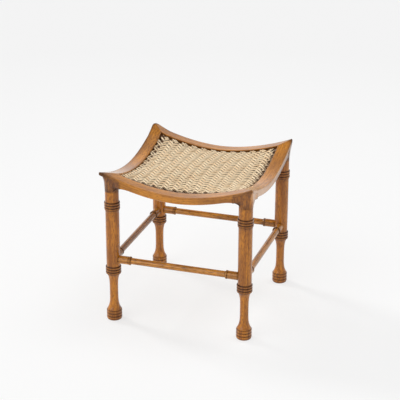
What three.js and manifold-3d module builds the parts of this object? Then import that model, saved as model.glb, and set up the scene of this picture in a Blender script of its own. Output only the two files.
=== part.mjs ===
import * as THREE from 'three';
import { mergeVertices } from 'three/addons/utils/BufferGeometryUtils.js';
import Module from 'manifold-3d';

// A square stool with four turned legs, four turned stretchers, a frame of four curved seat rails
// mitred at raised pointed corners, and a dished woven seat held in a groove round the inside of
// the frame. Lengths are in millimetres, +Z is up and the origin is on the floor under the middle
// of the seat. The front is at -Y. One corner and one side are modelled at the back right and
// the back, and turned a quarter turn at a time to make the other three.

// Seat frame
const seatWidth = 400;
const seatHeight = 420;
const saddleDepth = 44;
const saddlePower = 1.86;
const railWidth = 33.5;
const railDepth = 18.5;
const lipDepth = 8;
const topEdgeRound = 2.5;
const bottomEdgeRound = 5;
const innerEdgeRound = 2;
const tenonLength = 18;
const tenonWall = 5;
const tenonDepthShare = 0.5;

// Woven seat
const seatThickness = 5;
const seatBelowRail = 4;
const seatCrown = 9;
const seatInGroove = 5.5;

// Legs, from the floor up
const legInset = 21.5;
const footDiameter = 41;
const footHeight = 28.3;
const footEdgeRound = 3;
const ankleRise = 36;
const waistDiameter = 22.4;
const waistHeight = 18;
const trumpetRise = 50;
const trumpetDiameter = 34.5;
const ringDiameter = 41;
const ringHeight = 21.4;
const shaftDiameter = 36;
const collarDiameter = 38;
const collarHeight = 9.5;
const collarGap = 1.5;
const neckLength = 30;
const beadDepth = 1.6;
const footBeadDepth = 1.3;
const beadCount = 3;

// Carved block at the top of each leg
const wingReach = 29;
const blockSetback = 1;
const blockFlareHeight = 10;
const coveWidth = 13;
const coveHeight = 19;
const blockCornerRound = 19;
const tipCornerRound = 2;
const tipFlareHeight = 22;

// Stretchers
const stretcherAboveRing = 19;
const rodDiameter = 17;
const sleeveDiameter = 21.5;
const sleeveReach = 49.7;
const sleeveBeadDiameter = 23;
const sleeveBeadLength = 4.2;
const sleeveGroove = 1.4;
const pegDiameter = 13;
const pegWall = 0.5;

// Clearance between pieces that fit together, the overrun of a cut, and how finely curves are cut
const gap = 0.3;
const overrun = 10;
const legSides = 18;
const stretcherSides = 14;
const railSteps = 28;
const seatSteps = 14;
const roundSteps = 3;

const half = seatWidth / 2;
const railInner = half - railWidth;
const seatReach = railInner + seatInGroove;
const legAt = half - legInset;
const shaftRadius = shaftDiameter / 2;
const seamAt = legAt - wingReach;

// Rail tenons leave the same wall outside them and between one another inside the block
const tenonInner = seamAt + tenonLength + tenonWall;
const tenonOuter = half - tenonWall;
const tenonDepth = (railDepth - lipDepth) * tenonDepthShare;
const tenonHeight = saddle(seamAt) - (railDepth + lipDepth) / 2;

// Heights of a leg's features; its main shaft takes up what the others leave
const footRadius = footDiameter / 2;
const waistRadius = waistDiameter / 2;
const ringRadius = ringDiameter / 2;
const waistAt = footHeight + ankleRise;
const trumpetAt = waistAt + waistHeight;
const lowerRingAt = trumpetAt + trumpetRise;
const shaftAt = lowerRingAt + ringHeight;
const blockAt = saddle(seamAt) - railDepth - coveHeight;
const neckAt = blockAt - neckLength;
const upperRingAt = neckAt - ringHeight;
const collarAt = upperRingAt - collarGap - collarHeight;
const coreTop = saddle(legAt) - lipDepth - gap;
const stretcherHeight = shaftAt + stretcherAboveRing;
const pegEnd = legAt - pegDiameter / 2 - pegWall;

const wasm = await Module();
wasm.setup();

// Closed geometry to a solid that can be joined and cut, and back again
function toSolid(geometry) {
  const bare = geometry.index ? geometry.toNonIndexed() : geometry.clone();
  bare.deleteAttribute('normal');
  bare.deleteAttribute('uv');
  const merged = mergeVertices(bare, gap / 1000);
  const vertProperties = new Float32Array(merged.attributes.position.array);
  const triVerts = new Uint32Array(merged.index.array);
  return new wasm.Manifold(new wasm.Mesh({ numProp: 3, vertProperties, triVerts }));
}

function toGeometry(solid) {
  const mesh = solid.getMesh();
  const geometry = new THREE.BufferGeometry();
  geometry.setAttribute('position', new THREE.BufferAttribute(new Float32Array(mesh.vertProperties), 3));
  geometry.setIndex(new THREE.BufferAttribute(new Uint32Array(mesh.triVerts), 1));
  geometry.computeVertexNormals();
  return geometry;
}

function boxBetween(low, high) {
  const size = high.map((value, i) => value - low[i]);
  const middle = high.map((value, i) => (value + low[i]) / 2);
  return new THREE.BoxGeometry(...size).translate(...middle);
}

// Height of the rails' top surface at a distance along a side from its middle
function saddle(along) {
  return seatHeight - saddleDepth + saddleDepth * (Math.abs(along) / half) ** saddlePower;
}

function evenSteps(from, to, count) {
  return Array.from({ length: count + 1 }, (_, i) => from + ((to - from) * i) / count);
}

// Closed body between two surfaces over a grid in plan, with its triangles split towards the corners
// of the seat, so that a body centred on the seat looks the same from each side
function sheetBody(xs, ys, topAt, bottomAt) {
  const across = ys.length;
  const place = (i, j) => i * across + j;
  const tops = xs.flatMap((x) => ys.flatMap((y) => [x, y, topAt(x, y)]));
  const bottoms = xs.flatMap((x) => ys.flatMap((y) => [x, y, bottomAt(x, y)]));
  const under = xs.length * across;
  const faces = [];
  const quad = (a, b, c, d) => faces.push(a, b, c, a, c, d);
  for (let i = 0; i < xs.length - 1; i += 1) {
    for (let j = 0; j < across - 1; j += 1) {
      const ring = [place(i, j), place(i + 1, j), place(i + 1, j + 1), place(i, j + 1)];
      const below = ring.map((k) => k + under).reverse();
      const sameSign = (xs[i] + xs[i + 1]) * (ys[j] + ys[j + 1]) > 0;
      quad(...(sameSign ? ring : [...ring.slice(1), ring[0]]));
      quad(...(sameSign ? [...below.slice(1), below[0]] : below));
    }
    const end = across - 1;
    quad(place(i, 0) + under, place(i + 1, 0) + under, place(i + 1, 0), place(i, 0));
    quad(place(i, end), place(i + 1, end), place(i + 1, end) + under, place(i, end) + under);
  }
  for (let j = 0; j < across - 1; j += 1) {
    const end = xs.length - 1;
    quad(place(0, j), place(0, j + 1), place(0, j + 1) + under, place(0, j) + under);
    quad(place(end, j) + under, place(end, j + 1) + under, place(end, j + 1), place(end, j));
  }
  const geometry = new THREE.BufferGeometry();
  geometry.setAttribute('position', new THREE.Float32BufferAttribute([...tops, ...bottoms], 3));
  geometry.setIndex(faces);
  return geometry;
}

// Closed body through rings of points that all have the same count, anticlockwise seen from the end
function loft(rings) {
  const count = rings[0].length;
  const faces = [];
  for (let k = 0; k < rings.length - 1; k += 1) {
    for (let i = 0; i < count; i += 1) {
      const next = (i + 1) % count;
      const a = k * count + i;
      const b = k * count + next;
      faces.push(a, b, b + count, a, b + count, a + count);
    }
  }
  const last = (rings.length - 1) * count;
  const flat = THREE.ShapeUtils.triangulateShape(
    rings[0].map((point) => new THREE.Vector2(point[3], point[4])),
    [],
  );
  flat.forEach(([a, b, c]) => {
    faces.push(c, b, a);
    faces.push(last + a, last + b, last + c);
  });
  const geometry = new THREE.BufferGeometry();
  const positions = rings.flat().flatMap((point) => point.slice(0, 3));
  geometry.setAttribute('position', new THREE.Float32BufferAttribute(positions, 3));
  geometry.setIndex(faces);
  return geometry;
}

// Quarter round in two coordinates, from the first angle to the second
function arcPoints(centreX, centreY, radius, from, to, steps) {
  return evenSteps(from, to, steps).map((angle) => [
    centreX + radius * Math.cos(angle),
    centreY + radius * Math.sin(angle),
  ]);
}

// Woven seat: a thin panel whose edges follow the rails, and whose middle the taut cords hold a
// little above the middles of the rails
function seatTop(x, y) {
  const low = saddle(0);
  const rise = saddle(seatReach) - low;
  const riseShareX = (saddle(x) - low) / rise;
  const riseShareY = (saddle(y) - low) / rise;
  const crown = seatCrown * (1 - riseShareX) * (1 - riseShareY);
  return low + rise * riseShareX * riseShareY + crown - seatBelowRail;
}

function seatBody(grow) {
  const steps = evenSteps(-seatReach - grow, seatReach + grow, seatSteps);
  return sheetBody(
    steps,
    steps,
    (x, y) => seatTop(x, y) + grow,
    (x, y) => seatTop(x, y) - seatThickness - grow,
  );
}

// Back rail, along X
function railBody() {
  const quarter = Math.PI / 2;
  const corner = (inX, inZ, radius, turn) => {
    const from = turn * quarter;
    return arcPoints(inX, inZ, radius, from, from + quarter, roundSteps);
  };
  const outline = [
    ...corner(half - topEdgeRound, -topEdgeRound, topEdgeRound, 0),
    ...corner(railInner + innerEdgeRound, -innerEdgeRound, innerEdgeRound, 1),
    ...corner(railInner + innerEdgeRound, innerEdgeRound - railDepth, innerEdgeRound, 2),
    ...corner(half - bottomEdgeRound, bottomEdgeRound - railDepth, bottomEdgeRound, 3),
  ];
  const rings = evenSteps(-half, half, railSteps).map((x) =>
    outline.map(([y, z]) => [x, y, saddle(x) + z, y, z]),
  );
  const mitre = new THREE.Shape([
    new THREE.Vector2(0, gap),
    new THREE.Vector2(seatWidth, seatWidth + gap),
    new THREE.Vector2(-seatWidth, seatWidth + gap),
  ]);
  const wedge = new THREE.ExtrudeGeometry(mitre, { depth: seatHeight + overrun, bevelEnabled: false });
  const bodyEnd = seamAt - gap;
  let rail = toSolid(loft(rings)).intersect(toSolid(wedge));
  [-1, 1].forEach((side) => {
    const outward = [bodyEnd, half + overrun].map((x) => x * side);
    const span = evenSteps(Math.min(...outward), Math.max(...outward), roundSteps * 2);
    const cut = sheetBody(
      span,
      [railInner - overrun, half + overrun],
      (x) => saddle(x) - lipDepth,
      (x) => saddle(x) - lipDepth - seatHeight / 2,
    );
    const tenonEnds = [seamAt - overrun, seamAt + tenonLength].map((x) => x * side);
    const tenon = boxBetween(
      [Math.min(...tenonEnds), tenonInner, tenonHeight - tenonDepth / 2],
      [Math.max(...tenonEnds), tenonOuter, tenonHeight + tenonDepth / 2],
    );
    rail = rail.subtract(toSolid(cut)).add(toSolid(tenon));
  });
  return toGeometry(rail.subtract(toSolid(seatBody(gap))));
}

// Mortise for a rail's tenon, in the block at the back right, with its clearance
function railMortise(alongX) {
  const near = [seamAt - overrun, tenonInner - gap];
  const far = [seamAt + tenonLength + gap, tenonOuter + gap];
  const order = (pair) => (alongX ? pair : [pair[1], pair[0]]);
  return boxBetween(
    [...order(near), tenonHeight - tenonDepth / 2 - gap],
    [...order(far), tenonHeight + tenonDepth / 2 + gap],
  );
}

// Round-topped rings side by side, as radius and height
function beads(from, height, radius, depth) {
  const pitch = height / beadCount;
  const points = [];
  for (let i = 0; i < beadCount; i += 1) {
    const low = from + i * pitch;
    points.push([radius - depth, low]);
    points.push([radius, low + pitch / 3]);
    points.push([radius, low + (pitch * 2) / 3]);
  }
  points.push([radius - depth, from + height]);
  return points;
}

// Concave flare: steep at the wide end, easing into the narrow one
function flare(fromRadius, fromHeight, toRadius, toHeight) {
  const easeShares = [0.08, 0.2, 0.4, 0.7];
  const wideFirst = fromRadius > toRadius;
  const wide = wideFirst ? [fromRadius, fromHeight] : [toRadius, toHeight];
  const slim = wideFirst ? [toRadius, toHeight] : [fromRadius, fromHeight];
  const points = easeShares.map((share) => [
    slim[0] + (wide[0] - slim[0]) * (1 - share) ** 4,
    wide[1] + (slim[1] - wide[1]) * share,
  ]);
  return wideFirst ? points : points.reverse();
}

// Outline of a leg, as radius and height, up to the middle of its block
function legOutline() {
  return [
    [0, 0],
    [footRadius - footEdgeRound, 0],
    [footRadius - footEdgeRound / 4, footEdgeRound / 2],
    ...beads(footEdgeRound, footHeight - footEdgeRound, footRadius, footBeadDepth),
    ...flare(footRadius - footBeadDepth, footHeight, waistRadius, waistAt),
    [waistRadius, waistAt],
    [waistRadius, trumpetAt],
    ...flare(waistRadius, trumpetAt, trumpetDiameter / 2, lowerRingAt - beadDepth),
    [trumpetDiameter / 2, lowerRingAt - beadDepth],
    ...beads(lowerRingAt, ringHeight, ringRadius, beadDepth),
    [shaftRadius, shaftAt + beadDepth],
    [shaftRadius, collarAt],
    [collarDiameter / 2, collarAt + collarGap],
    [collarDiameter / 2, collarAt + collarHeight - collarGap],
    [shaftRadius, collarAt + collarHeight],
    ...beads(upperRingAt, ringHeight, ringRadius, beadDepth),
    [shaftRadius, neckAt + beadDepth],
    [shaftRadius, coreTop],
    [0, coreTop],
  ];
}

function lathe(outline, sides) {
  const points = outline.map(([radius, height]) => new THREE.Vector2(radius, height));
  return new THREE.LatheGeometry(points, sides);
}

// Wing of the block, which fills the rail's width and has a cove under its free end
function wingBody(alongX) {
  const bottomAtSeam = saddle(seamAt) - railDepth;
  const cove = evenSteps(Math.PI / 2, 0, roundSteps * 2).map(
    (angle) =>
      new THREE.Vector2(
        seamAt + coveWidth * Math.cos(angle),
        blockAt + (bottomAtSeam - blockAt) * Math.sin(angle),
      ),
  );
  const shape = new THREE.Shape([
    ...cove,
    new THREE.Vector2(half + overrun, blockAt),
    new THREE.Vector2(half + overrun, seatHeight + overrun),
    new THREE.Vector2(seamAt, seatHeight + overrun),
  ]);
  const wing = new THREE.ExtrudeGeometry(shape, { depth: railWidth + overrun, bevelEnabled: false });
  const turn = new THREE.Matrix4();
  if (alongX) {
    turn.makeBasis(new THREE.Vector3(1, 0, 0), new THREE.Vector3(0, 0, 1), new THREE.Vector3(0, -1, 0));
    turn.setPosition(0, half + overrun, 0);
  } else {
    turn.makeBasis(new THREE.Vector3(0, 1, 0), new THREE.Vector3(0, 0, 1), new THREE.Vector3(1, 0, 0));
    turn.setPosition(railInner, 0, 0);
  }
  return wing.applyMatrix4(turn);
}

// Outer envelope of the block: flush faces, and a corner that is round low down and sharp at the tip
function blockEnvelope() {
  const fullFace = half - blockSetback;
  const inside = seamAt - overrun;
  const lipAtTip = seatHeight - lipDepth;
  const flareFrom = lipAtTip - tipFlareHeight;
  const ringAt = (height) => {
    const rise = Math.min((height - blockAt) / blockFlareHeight, 1);
    const face = legAt + shaftRadius + (fullFace - legAt - shaftRadius) * rise;
    const toTip = Math.min(Math.max((height - flareFrom) / tipFlareHeight, 0), 1);
    const round = blockCornerRound + (tipCornerRound - blockCornerRound) * toTip ** 2;
    const arc = arcPoints(face - round, face - round, round, 0, Math.PI / 2, roundSteps * 2);
    const plan = [[inside, inside], [face, inside], ...arc, [inside, face]];
    return plan.map(([x, y]) => [x, y, height, x, y]);
  };
  const levels = [
    ...evenSteps(blockAt, blockAt + blockFlareHeight, 2),
    ...evenSteps(flareFrom, lipAtTip, roundSteps * 2),
    seatHeight + overrun,
  ];
  return loft(levels.map(ringAt));
}

// Space over the block that the rails' lips take
function lipSpace() {
  const steps = evenSteps(seamAt - overrun, half + overrun, roundSteps * 4);
  return sheetBody(
    steps,
    steps,
    () => seatHeight + overrun * 2,
    (x, y) => saddle(Math.min(x, y)) - lipDepth - gap,
  );
}

// Back right leg
function legBody() {
  const turned = lathe(legOutline(), legSides).rotateX(Math.PI / 2).translate(legAt, legAt, 0);
  const block = toSolid(wingBody(true))
    .add(toSolid(wingBody(false)))
    .intersect(toSolid(blockEnvelope()));
  let leg = toSolid(turned).add(block).subtract(toSolid(lipSpace()));
  leg = leg.subtract(toSolid(railMortise(true))).subtract(toSolid(railMortise(false)));
  leg = leg.subtract(toSolid(seatBody(gap)));
  const hole = () =>
    new THREE.CylinderGeometry(pegDiameter / 2 + gap, pegDiameter / 2 + gap, shaftDiameter, stretcherSides);
  const holeMiddle = pegEnd + gap - shaftRadius;
  const alongX = hole().rotateZ(Math.PI / 2).translate(holeMiddle, legAt, stretcherHeight);
  const alongY = hole().translate(legAt, holeMiddle, stretcherHeight);
  return toGeometry(leg.subtract(toSolid(alongX)).subtract(toSolid(alongY)));
}

// Back stretcher, along X, with its sleeve ends coped to the round of the legs
function stretcherBody() {
  const sleeveEnd = legAt - sleeveReach;
  const beadEnd = sleeveEnd + sleeveBeadLength;
  const coped = legAt - shaftRadius / 2;
  const rodRadius = rodDiameter / 2;
  const rightHalf = [
    [rodRadius, sleeveEnd - sleeveGroove],
    [sleeveBeadDiameter / 2 - sleeveGroove / 2, sleeveEnd],
    [sleeveBeadDiameter / 2, sleeveEnd + sleeveBeadLength / 3],
    [sleeveBeadDiameter / 2, sleeveEnd + (sleeveBeadLength * 2) / 3],
    [sleeveDiameter / 2 - sleeveGroove / 2, beadEnd],
    [sleeveDiameter / 2, beadEnd + sleeveGroove],
    [sleeveDiameter / 2, coped],
    [0, coped],
  ];
  const leftHalf = rightHalf.map(([radius, along]) => [radius, -along]).reverse();
  const turned = lathe([...leftHalf, ...rightHalf], stretcherSides);
  const peg = new THREE.CylinderGeometry(pegDiameter / 2, pegDiameter / 2, pegEnd * 2, stretcherSides);
  const clear = legOutline().map(([radius, height]) => [radius && radius + gap, height]);
  let bar = toSolid(turned.rotateZ(-Math.PI / 2).translate(0, legAt, stretcherHeight));
  [-1, 1].forEach((side) => {
    const shaft = lathe(clear, legSides).rotateX(Math.PI / 2).translate(side * legAt, legAt, 0);
    bar = bar.subtract(toSolid(shaft));
  });
  const placedPeg = peg.rotateZ(Math.PI / 2).translate(0, legAt, stretcherHeight);
  return toGeometry(bar.add(toSolid(placedPeg)));
}

const looks = {
  leg: { color: 0xa8622e, roughness: 0.5, metalness: 0 },
  rail: { color: 0xb9743c, roughness: 0.45, metalness: 0 },
  stretcher: { color: 0xa05c2c, roughness: 0.5, metalness: 0 },
  seat: { color: 0xd9bd8e, roughness: 0.85, metalness: 0 },
};

function piece(name, geometry, look) {
  const mesh = new THREE.Mesh(geometry, new THREE.MeshStandardMaterial(looks[look]));
  mesh.name = name;
  return mesh;
}

const stool = new THREE.Group();
const corners = ['back_right', 'back_left', 'front_left', 'front_right'];
const sides = ['back', 'left', 'front', 'right'];
const legGeometry = legBody();
const railGeometry = railBody();
const stretcherGeometry = stretcherBody();
for (let quarter = 0; quarter < corners.length; quarter += 1) {
  const turned = new THREE.Group();
  turned.rotation.z = (quarter * Math.PI) / 2;
  turned.add(piece(`leg_${corners[quarter]}`, legGeometry.clone(), 'leg'));
  turned.add(piece(`rail_${sides[quarter]}`, railGeometry.clone(), 'rail'));
  turned.add(piece(`stretcher_${sides[quarter]}`, stretcherGeometry.clone(), 'stretcher'));
  stool.add(turned);
}
stool.add(piece('woven_seat', seatBody(0), 'seat'));

export default stool;
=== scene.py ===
# %% [markdown]
# # A square stool with a woven saddle seat
#
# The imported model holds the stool's real sizes as plain solids. This script dresses it: turned
# legs with crisp beads, seat rails with soft worn edges, and a seat of real woven cords.
# Everything is worked out in millimetres here and turned to metres when a mesh is made.

import bpy
import numpy as np
from mathutils import Matrix


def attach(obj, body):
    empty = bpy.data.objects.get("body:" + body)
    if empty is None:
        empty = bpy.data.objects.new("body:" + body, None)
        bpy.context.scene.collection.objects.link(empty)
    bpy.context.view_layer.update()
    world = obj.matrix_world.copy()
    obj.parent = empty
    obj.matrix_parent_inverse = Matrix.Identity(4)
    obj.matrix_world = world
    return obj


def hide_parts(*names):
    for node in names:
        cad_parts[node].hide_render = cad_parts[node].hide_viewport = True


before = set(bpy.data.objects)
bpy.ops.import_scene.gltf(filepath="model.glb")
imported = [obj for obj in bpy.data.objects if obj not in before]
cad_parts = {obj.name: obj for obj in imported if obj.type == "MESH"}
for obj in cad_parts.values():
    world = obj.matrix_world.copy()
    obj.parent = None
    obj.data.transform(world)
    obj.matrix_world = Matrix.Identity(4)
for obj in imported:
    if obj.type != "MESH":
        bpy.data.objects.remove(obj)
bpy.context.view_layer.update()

# %% [markdown]
# ## Camera
#
# The photograph was taken from a little above, well to the right of the front, with a long
# lens. A long lens far away keeps the legs nearly parallel. The place is written as a turn, a
# tilt and a distance from a point, because these are what a photographer would set.

# %% Place the camera
turn, tilt, roll = np.radians([17.959, 22.18, 0.185])
aim = np.array([-0.068342, 0.21314, 0.2])
distance = 3.8191
focal_pixels = 1347.9
frame_pixels = 400

backward = np.array([np.sin(turn) * np.cos(tilt), -np.cos(turn) * np.cos(tilt), np.sin(tilt)])
level = np.array([np.cos(turn), np.sin(turn), 0.0])
upward = np.cross(backward, level)
right = np.cos(roll) * level + np.sin(roll) * upward
top = np.cos(roll) * upward - np.sin(roll) * level

camera_data = bpy.data.cameras.new("camera")
camera_data.sensor_width = 36
camera_data.lens = focal_pixels / frame_pixels * camera_data.sensor_width
camera = bpy.data.objects.new("camera", camera_data)
bpy.context.collection.objects.link(camera)
pose = np.eye(4)
pose[:3, :3] = np.stack([right, top, backward], axis=1)
pose[:3, 3] = aim + distance * backward
camera.matrix_world = Matrix(pose.tolist())
bpy.context.scene.camera = camera
print("camera at", np.round(pose[:3, 3], 3), "lens", round(camera_data.lens, 1))

# %% [markdown]
# ## Sizes
#
# These are the sizes of the solids, in millimetres. The top of each rail follows one curve, low
# in the middle of a side and high at the corners, so one function gives its height anywhere.

# %% Write down the sizes
MM = 0.001
HALF = 200.0  # half of the seat's width
HEIGHT = 420.0  # from the floor to the tips
DIP = 44.0  # how far the middle of a rail lies under the tips
DIP_POWER = 1.86
RAIL_WIDTH = 33.5
RAIL_DEPTH = 19.6
LIP = 8.0  # what is left of the rail's depth over the block
INNER = HALF - RAIL_WIDTH
LEG_AT = 178.5  # the middle of a leg
SEAM_AT = 149.5  # where a rail meets the block
SWEEP_FROM = 122.0  # where a rail begins to sweep down to the leg
SWEEP = 4.5  # how much deeper it is at the seam


def saddle(along):
    """Height of a rail's top: the low point plus the dip times a power of the share of the half side."""
    return HEIGHT - DIP + DIP * (np.abs(along) / HALF) ** DIP_POWER


def ease(value, start, end):
    """0 up to start, 1 from end on, and a smooth S between them: 3t squared minus 2t cubed."""
    share = np.clip((value - start) / (end - start), 0, 1)
    return share * share * (3 - 2 * share)


def rail_depth(along):
    """A rail is evenly deep in the middle and sweeps down to the leg by a share of the way squared."""
    share = np.clip((np.abs(along) - SWEEP_FROM) / (SEAM_AT - SWEEP_FROM), 0, 1)
    return RAIL_DEPTH + SWEEP * share**2


def lip_depth(along, arch):
    """Past the seam the rail thins to its lip by a quarter ellipse, a small arch over the joint."""
    share = np.clip((np.abs(along) - SEAM_AT) / arch, 0, 1)
    return LIP + (rail_depth(SEAM_AT) - LIP) * (1 - np.sqrt(1 - (1 - share) ** 2))


print("rail middle", saddle(0), "seam", round(float(saddle(SEAM_AT)), 1), "deep there", rail_depth(SEAM_AT))

# %% [markdown]
# ## Grids into meshes
#
# Each surface is a grid of points: its rows are places along a path, its columns places round
# it. Neighbouring rows and columns give four-sided faces. Numbers that the finish needs, such
# as where dirt sits in a groove or which way the grain runs, lie on the same grid and become
# attributes of the mesh.

# %% Make skins and pieces
def skin(grid, marks):
    """One closed surface: each row of the grid is a ring, and the first and last ring are filled."""
    rows, columns = grid.shape[:2]
    index = np.arange(rows * columns).reshape(rows, columns)
    ring = np.concatenate([index, index[:, :1]], axis=1)
    corners = [ring[:-1, :-1], ring[:-1, 1:], ring[1:, 1:], ring[1:, :-1]]
    quads = np.stack(corners, axis=-1).reshape(-1, 4)
    points = grid.reshape(-1, 3)
    a, b, c, d = (points[quads[:, k]] - points.mean(axis=0) for k in range(4))
    volume = (np.cross(b, c) * a + np.cross(c, d) * a).sum()
    faces = quads.tolist() + [index[0][::-1].tolist(), index[-1].tolist()]
    if volume < 0:
        faces = [face[::-1] for face in faces]
    flat = {}
    for name, value in marks.items():
        spread = np.broadcast_to(value, grid.shape[:2] + np.shape(value)[2:])
        flat[name] = spread.reshape(len(points), -1)
    return points, faces, flat


def piece(name, skins, node=None):
    """A mesh object from one or more skins, smooth shaded, riding on the stool's one body."""
    mesh = bpy.data.meshes.new(name)
    starts = np.cumsum([0] + [len(points) for points, _, _ in skins])
    points = np.concatenate([points for points, _, _ in skins]) * MM
    faces = [[k + start for k in face] for (_, part, _), start in zip(skins, starts) for face in part]
    mesh.from_pydata(points.tolist(), [], faces)
    for key in skins[0][2]:
        values = np.concatenate([marks[key] for _, _, marks in skins]).astype(np.float32)
        if values.shape[1] == 1:
            layer = mesh.attributes.new(key, "FLOAT", "POINT")
            layer.data.foreach_set("value", values.ravel())
        else:
            layer = mesh.attributes.new(key, "FLOAT_VECTOR", "POINT")
            layer.data.foreach_set("vector", values.ravel())
    mesh.polygons.foreach_set("use_smooth", [True] * len(mesh.polygons))
    made = bpy.data.objects.new(name, mesh)
    bpy.context.collection.objects.link(made)
    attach(made, "root")
    if node:
        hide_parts(node)
    print(name, len(mesh.polygons), "faces")
    return made


# %% [markdown]
# ## Turned legs
#
# A leg is turned on a lathe, so its outline, a list of radii and heights, says everything. The
# beads are rows of half rounds with a sharp groove between them, cut with the point of a tool,
# and the foot and the flare under the lower ring are hollow curves. The deeper a point lies in a
# groove under its beads, the darker it is coloured, so each point also gets a darkening value.

# %% Draw the outline of a leg
SHAFT_R = 18.0
RING_R = 20.5
RING_HEIGHT = 21.4
RING_GROOVE = 2.4  # how deep the grooves between the beads are
FOOT_EDGE = 2.6  # height of the foot's plain rounded edge
FOOT_TOP = 28.3
FOOT_GROOVE = 1.9
WAIST_R = 11.2  # the slimmest place, between the foot and the lower ring group
WAIST_AT = 82.3
LOWER_RING = 132.3
SHAFT_AT = LOWER_RING + RING_HEIGHT
BLOCK_AT = saddle(SEAM_AT) - 37.5
UPPER_RING = BLOCK_AT - 30.0 - RING_HEIGHT
UPPER_END = UPPER_RING + RING_HEIGHT
COLLAR_AT = UPPER_RING - 4.0  # a slim collar under the upper ring group
INSIDE_BLOCK = 384  # where the turned part ends, out of sight in the block


def beads(start, height, radius, depth, count=3, steps=12):
    """Half rounds side by side: the radius rises from the groove by the root of the sine of the angle."""
    angle = np.linspace(0, np.pi, steps, endpoint=False)
    pitch = height / count
    places = start + pitch * (np.arange(count)[:, None] + (1 - np.cos(angle)) / 2)
    rise = np.sin(angle) + 0 * places
    groove_dark = np.clip(2.1 * (1 - rise), 0, 1)
    return np.stack([radius - depth + depth * np.sqrt(rise), places, groove_dark], axis=-1).reshape(-1, 3)


def hollow(wide, slim, power=4.0, steps=16):
    """Hollow flare between two points: the width left falls as a power of the height left."""
    share = np.linspace(0, 1, steps)
    radius = slim[0] + (wide[0] - slim[0]) * (1 - share) ** power
    return np.stack([radius, wide[1] + (slim[1] - wide[1]) * share, 0 * share], axis=-1)


def plain(*rows):
    """Plain corners of an outline: radius, height and groove value."""
    return np.array(rows, float)


def leg_outline():
    """The outline from the floor up to the middle of the block, as radius, height and groove value."""
    edge = plain((0, 0, 0), (16.5, 0, 0), (18.2, 0.4, 0), (19.2, 1.4, 0))
    shaft = plain(
        (18.3, SHAFT_AT + 0.2, 0.9), (SHAFT_R, SHAFT_AT + 1.5, 0.2), (SHAFT_R, SHAFT_AT + 4, 0),
        (18.05, 200, 0), (18.05, 250, 0), (SHAFT_R, COLLAR_AT - 3, 0), (SHAFT_R, COLLAR_AT - 0.3, 0.2),
        (18.4, COLLAR_AT + 0.3, 0), (18.5, COLLAR_AT + 1.5, 0), (18.5, COLLAR_AT + 3, 0),
        (18.2, COLLAR_AT + 3.7, 0.7),
    )
    neck = plain(
        (18.6, UPPER_END, 1), (18.1, UPPER_END + 1, 0.4), (SHAFT_R, UPPER_END + 3, 0),
        (SHAFT_R, BLOCK_AT - 4, 0), (SHAFT_R, BLOCK_AT - 0.6, 0.35), (SHAFT_R, BLOCK_AT + 2, 0),
        (SHAFT_R, INSIDE_BLOCK, 0), (0, INSIDE_BLOCK, 0),
    )
    return np.concatenate([
        edge,
        beads(FOOT_EDGE, FOOT_TOP - FOOT_EDGE, RING_R, FOOT_GROOVE) * np.array([1, 1, 0.7]),
        plain((19.0, FOOT_TOP, 0.7)),
        hollow((19.3, FOOT_TOP + 0.7), (WAIST_R, WAIST_AT - 1), power=4.4),
        hollow((17.2, LOWER_RING - 1.2), (WAIST_R, WAIST_AT))[::-1],
        plain((17.4, LOWER_RING - 0.6, 0.6)),
        beads(LOWER_RING, RING_HEIGHT, RING_R, RING_GROOVE),
        shaft,
        beads(UPPER_RING, RING_HEIGHT, RING_R, RING_GROOVE),
        neck,
    ])


print("outline points:", len(leg_outline()), "block from", round(float(BLOCK_AT), 1))

# %% Spin an outline
def ring_stain(height, on_shaft, on_block):
    """How dark the old stain is: strong on the ring groups and by the block, faint elsewhere; one leg's shaft
    is darker above its lower ring.
    """
    foot = 1 - ease(height, FOOT_TOP - 2, FOOT_TOP + 14)
    lower = ease(height, LOWER_RING - 8, LOWER_RING) * (1 - ease(height, SHAFT_AT, SHAFT_AT + 5))
    upper = ease(height, COLLAR_AT - 8, UPPER_RING) * (1 - ease(height, UPPER_END, UPPER_END + 4))
    beside_block = on_block * ease(height, BLOCK_AT - 0.5, BLOCK_AT + 1)
    shaft = on_shaft * ease(height, LOWER_RING, SHAFT_AT)
    return np.maximum.reduce([0.15 * foot, 0.45 * lower, 0.45 * upper, beside_block, shaft])


def spin(outline, centre, stain, axis=2, sides=72):
    """Each outline point goes round a circle: centre plus radius times the cosine and sine of the angle."""
    angle = np.linspace(0, 2 * np.pi, sides, endpoint=False)
    radius, along, dirt_and_shade = (outline[:, k][:, None] for k in range(3))
    length = along + 0 * angle
    local = np.stack([radius * np.cos(angle), radius * np.sin(angle), length], axis=-1)
    order = {2: [0, 1, 2], 0: [2, 0, 1], 1: [0, 2, 1]}[axis]
    grid = local[..., order] + np.array(centre)
    return skin(grid, {"grain": local, "dirt_and_shade": dirt_and_shade + 0 * angle, "stain_shade_and_sheen": stain(length)})
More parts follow.
